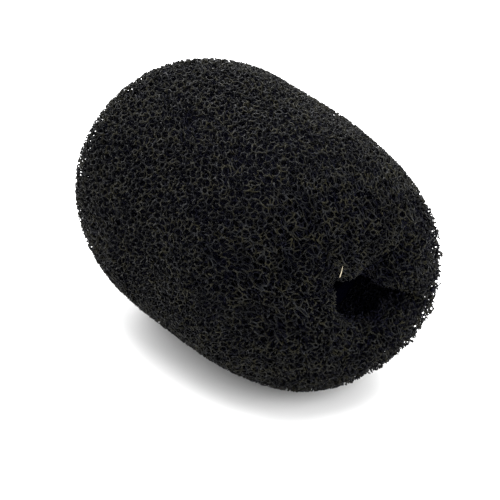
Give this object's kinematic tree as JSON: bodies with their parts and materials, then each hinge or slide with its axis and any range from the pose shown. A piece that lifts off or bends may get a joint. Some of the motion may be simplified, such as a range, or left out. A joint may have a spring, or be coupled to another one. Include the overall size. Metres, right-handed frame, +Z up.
{
  "type": "foam microphone windscreen",
  "caption": "Black open-cell foam barrel that slips over a small microphone capsule, with a puckered mouth of folding lips and an inner retaining ring.",
  "frame": {"origin": "on the surface that the windscreen lies on, below the middle of the barrel", "axes": "+X along the barrel's axis, out of the mouth; +Z up, away from the pressed-flat resting side"},
  "size_m": [0.0313, 0.022, 0.0218],
  "materials": {
    "foam": "matte",
    "lip_foam": "matte",
    "ring_plastic": "satin",
    "adhesive": "gloss"
  },
  "bodies": {
    "windscreen": {"foam_body": "foam", "retaining_ring": "ring_plastic", "adhesive_bead": "adhesive"},
    "lip_left": {"lip_left": "lip_foam"},
    "lip_top": {"lip_top": "lip_foam"},
    "lip_right": {"lip_right": "lip_foam"},
    "lip_bottom": {"lip_bottom": "lip_foam"}
  },
  "joints": [
    {"name": "lip_left_fold", "type": "hinge", "parent": "windscreen", "child": "lip_left", "pos_m": [0.01375, 0.00322, 0.01159], "axis": [0, 0.225, -0.9744], "range_deg": [-25, 76], "stiffness_Nm_per_rad": 0.000004},
    {"name": "lip_top_fold", "type": "hinge", "parent": "windscreen", "child": "lip_top", "pos_m": [0.01375, -0.00074, 0.01407], "axis": [0, 0.9744, 0.225], "range_deg": [-25, 76], "stiffness_Nm_per_rad": 0.000004},
    {"name": "lip_right_fold", "type": "hinge", "parent": "windscreen", "child": "lip_right", "pos_m": [0.01375, -0.00322, 0.01011], "axis": [0, -0.225, 0.9744], "range_deg": [-25, 76], "stiffness_Nm_per_rad": 0.000004},
    {"name": "lip_bottom_fold", "type": "hinge", "parent": "windscreen", "child": "lip_bottom", "pos_m": [0.01375, 0.00074, 0.00763], "axis": [0, -0.9744, -0.225], "range_deg": [-25, 76], "stiffness_Nm_per_rad": 0.000004}
  ],
  "couplings": [
    {"joint": "lip_top_fold", "follows": "lip_left_fold", "ratio": 1},
    {"joint": "lip_right_fold", "follows": "lip_left_fold", "ratio": 1},
    {"joint": "lip_bottom_fold", "follows": "lip_left_fold", "ratio": 1}
  ]
}
